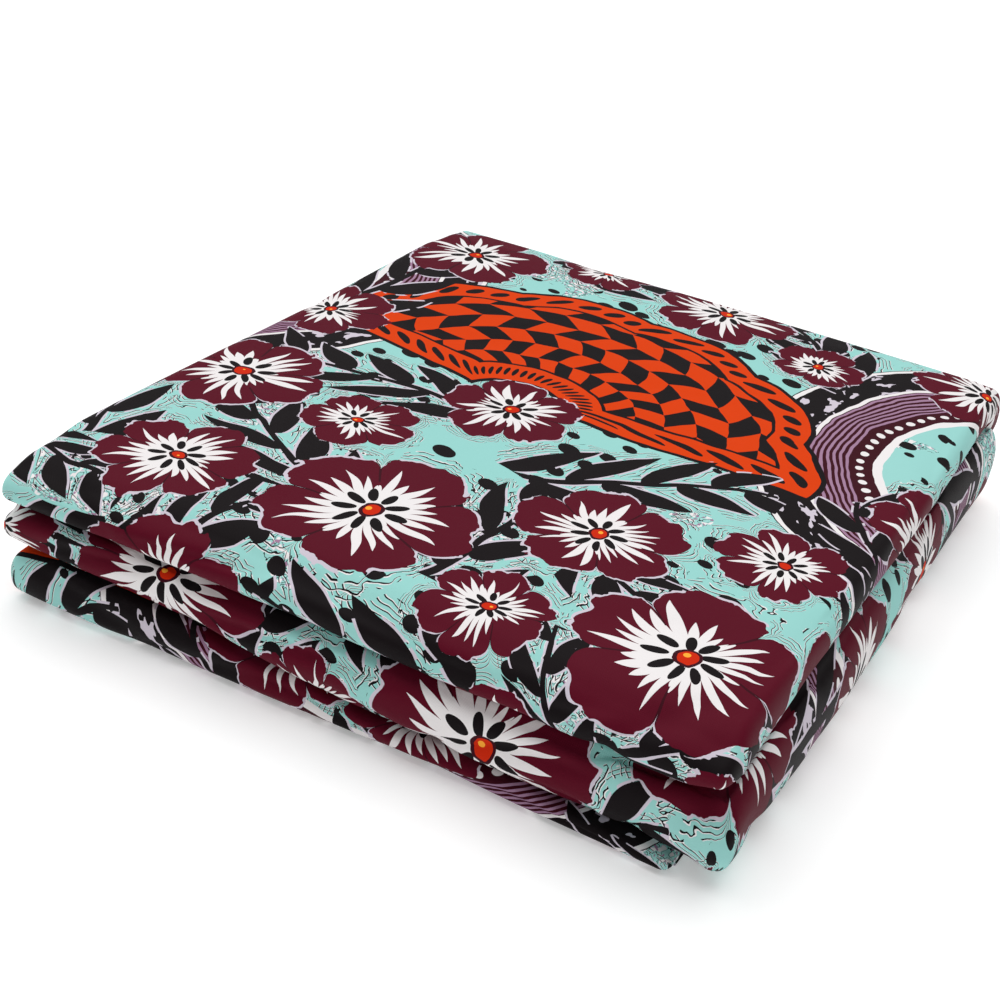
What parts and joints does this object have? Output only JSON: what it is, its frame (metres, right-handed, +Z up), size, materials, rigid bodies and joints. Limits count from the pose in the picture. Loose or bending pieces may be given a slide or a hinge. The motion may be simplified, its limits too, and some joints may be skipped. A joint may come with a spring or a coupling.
{
  "type": "folded wax print fabric",
  "caption": "Length of wax print cotton folded flat into a rectangular pile, with closed rolls along its front and a hanging fold down its right side.",
  "frame": {"origin": "middle of the pile's box, on the surface that it lies on", "axes": "+X to the right along the front, where the closed ends show as rolls; +Y to the back; +Z up"},
  "size_m": [0.2896, 0.344, 0.0589],
  "materials": {
    "print_top": "printed wax cotton, slight sheen",
    "print_middle": "printed wax cotton, slight sheen",
    "print_bottom": "printed wax cotton, slight sheen",
    "print_upper_turn": "printed wax cotton, slight sheen",
    "print_lower_turn": "printed wax cotton, slight sheen"
  },
  "bodies": {
    "root": {"top_length": "print_top", "middle_fold": "print_middle", "bottom_length": "print_bottom", "upper_turn": "print_upper_turn", "lower_turn": "print_lower_turn"}
  },
  "joints": []
}
